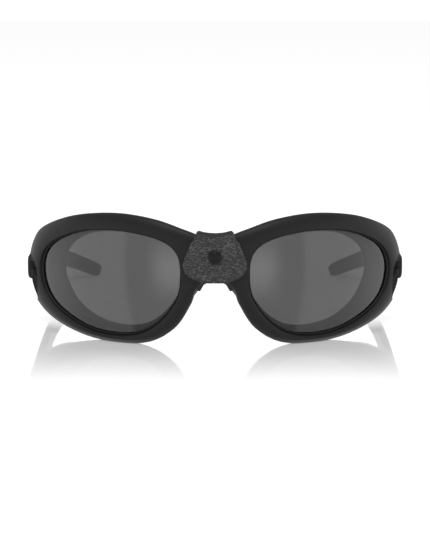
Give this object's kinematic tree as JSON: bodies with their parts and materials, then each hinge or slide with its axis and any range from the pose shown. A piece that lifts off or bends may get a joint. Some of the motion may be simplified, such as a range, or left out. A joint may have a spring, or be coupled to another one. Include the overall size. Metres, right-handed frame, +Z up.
{
  "type": "glacier glasses",
  "caption": "Wraparound glacier glasses: deep moulded front with dark curved lenses, folding temples and a leather bridge cover that snaps shut.",
  "frame": {"origin": "on the surface that the open glasses stand on, at the middle of their box", "axes": "+X towards the wearer's left, +Y from the lenses back to the temple tips, +Z up"},
  "size_m": [0.1462, 0.1642, 0.0488],
  "materials": {
    "frame_nylon": "fine matte moulded black nylon",
    "temple_nylon": "fine matte moulded black nylon",
    "lens_glass": "polished grey lens with a soft silver mirror coat",
    "cover_leather": "black pebbled leather with dyed cut edges",
    "saddle_rubber": "soft black rubber",
    "hinge_steel": "satin stainless steel",
    "screw_steel": "turned stainless steel",
    "core_steel": "drawn steel wire",
    "snap_black": "black lacquered brass",
    "snap_steel": "plated steel"
  },
  "bodies": {
    "front": {"front_frame": "frame_nylon", "lens_left": "lens_glass", "lens_right": "lens_glass", "front_hinge_left": "hinge_steel", "front_hinge_right": "hinge_steel", "hinge_screw_left": "screw_steel", "hinge_screw_right": "screw_steel", "nose_saddle": "saddle_rubber", "leather_strap": "cover_leather", "snap_stud": "snap_steel", "snap_post": "snap_black"},
    "temple_left": {"temple_left": "temple_nylon", "temple_core_left": "core_steel", "temple_hinge_left": "hinge_steel"},
    "temple_right": {"temple_right": "temple_nylon", "temple_core_right": "core_steel", "temple_hinge_right": "hinge_steel"},
    "flap": {"leather_flap": "cover_leather", "snap_cap": "snap_black", "snap_socket": "snap_steel"}
  },
  "joints": [
    {"name": "fold_left", "type": "hinge", "parent": "front", "child": "temple_left", "pos_m": [0.06732, -0.03224, 0.0242], "axis": [0, 0, 1], "range_deg": [0, 90]},
    {"name": "fold_right", "type": "hinge", "parent": "front", "child": "temple_right", "pos_m": [-0.06732, -0.03224, 0.0242], "axis": [0, 0, -1], "range_deg": [0, 82]},
    {"name": "flap_lift", "type": "hinge", "parent": "front", "child": "flap", "pos_m": [0, -0.08012, 0.0402], "axis": [-1, 0, 0], "range_deg": [0, 110]}
  ]
}
